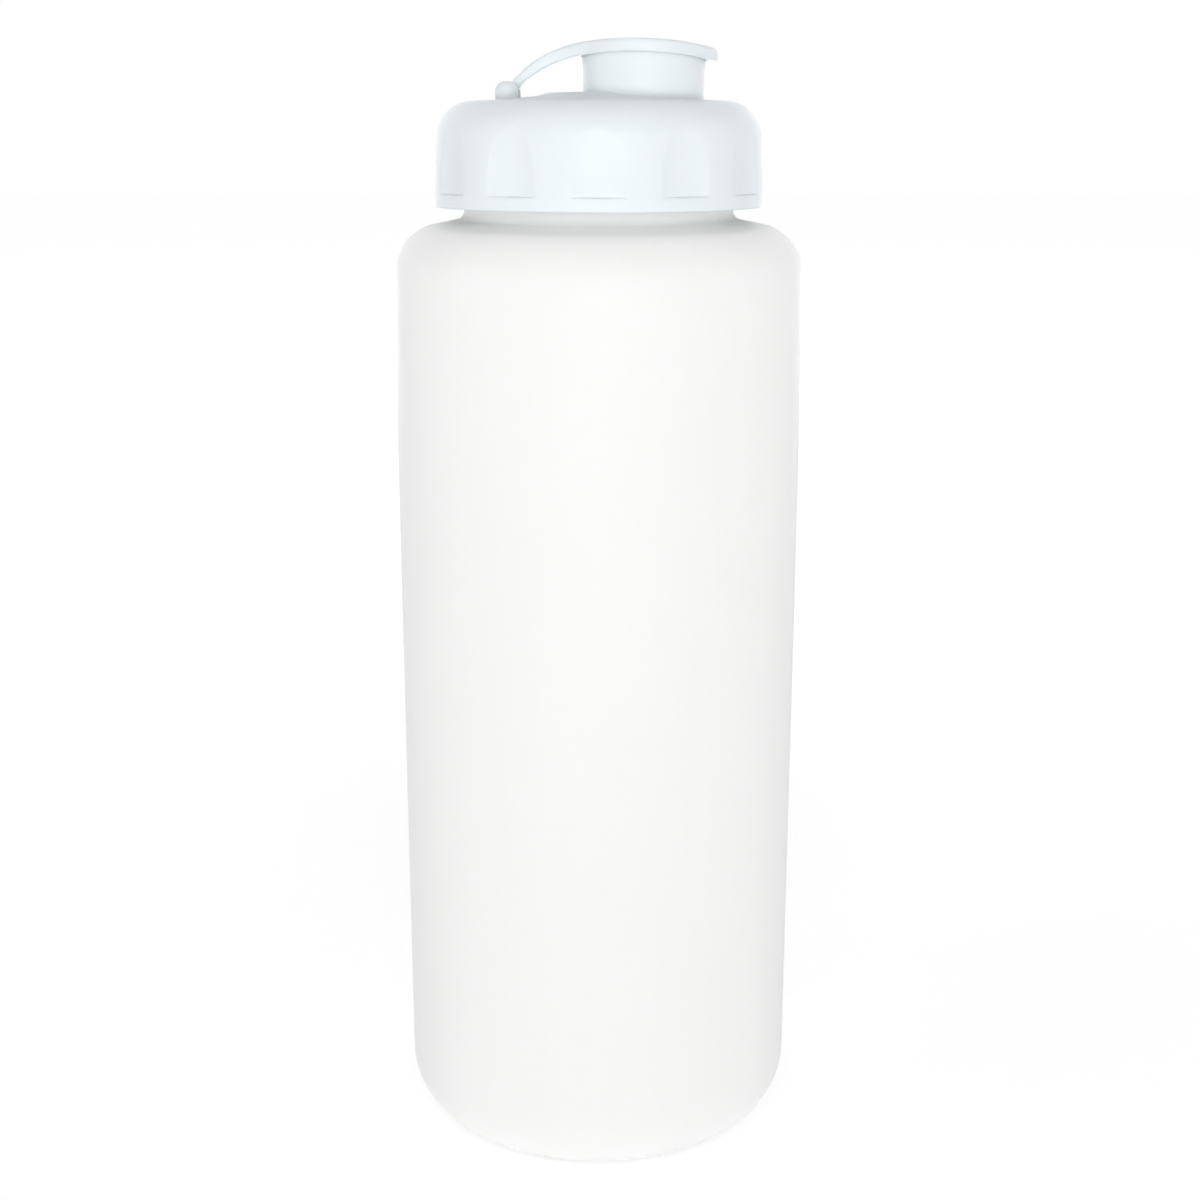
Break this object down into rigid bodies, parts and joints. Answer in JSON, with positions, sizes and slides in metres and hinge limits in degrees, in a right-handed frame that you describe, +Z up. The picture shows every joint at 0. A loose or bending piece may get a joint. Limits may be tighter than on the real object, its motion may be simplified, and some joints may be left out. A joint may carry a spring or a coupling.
{
  "type": "squeeze bottle with flip-lid screw cap",
  "caption": "White round squeeze bottle with a fluted screw cap, an off-centre pouring spout and an arched flip lid hinged on the cap.",
  "frame": {"origin": "centre of the bottle's base, on the surface that it stands on", "axes": "+Z up along the bottle's axis, +X from the hinge towards the spout and the lid's thumb lip, -Y towards the viewer of the picture"},
  "size_m": [0.085, 0.085, 0.2331],
  "materials": {
    "bottle": "matte, blow-moulded",
    "cap": "semi-gloss, injection-moulded",
    "seal": "matte foam"
  },
  "bodies": {
    "bottle": {"bottle": "bottle"},
    "seal": {"sealing_ring": "seal"},
    "cap": {"screw_cap": "cap"},
    "lid": {"flip_lid": "cap"}
  },
  "joints": [
    {"name": "cap_rise", "type": "slide", "parent": "bottle", "child": "seal", "axis": [0, 0, 1], "range_m": [0, 0.018]},
    {"name": "cap_turn", "type": "hinge", "parent": "seal", "child": "cap", "pos_m": [0, 0, 0.2006], "axis": [0, 0, 1], "range_deg": [0, 1080]},
    {"name": "lid_flip", "type": "hinge", "parent": "cap", "child": "lid", "pos_m": [-0.0184, 0, 0.2233], "axis": [0, -1, 0], "range_deg": [0, 130]}
  ],
  "couplings": [
    {"joint": "cap_turn", "follows": "cap_rise", "rad_per_m": 1047.2}
  ]
}
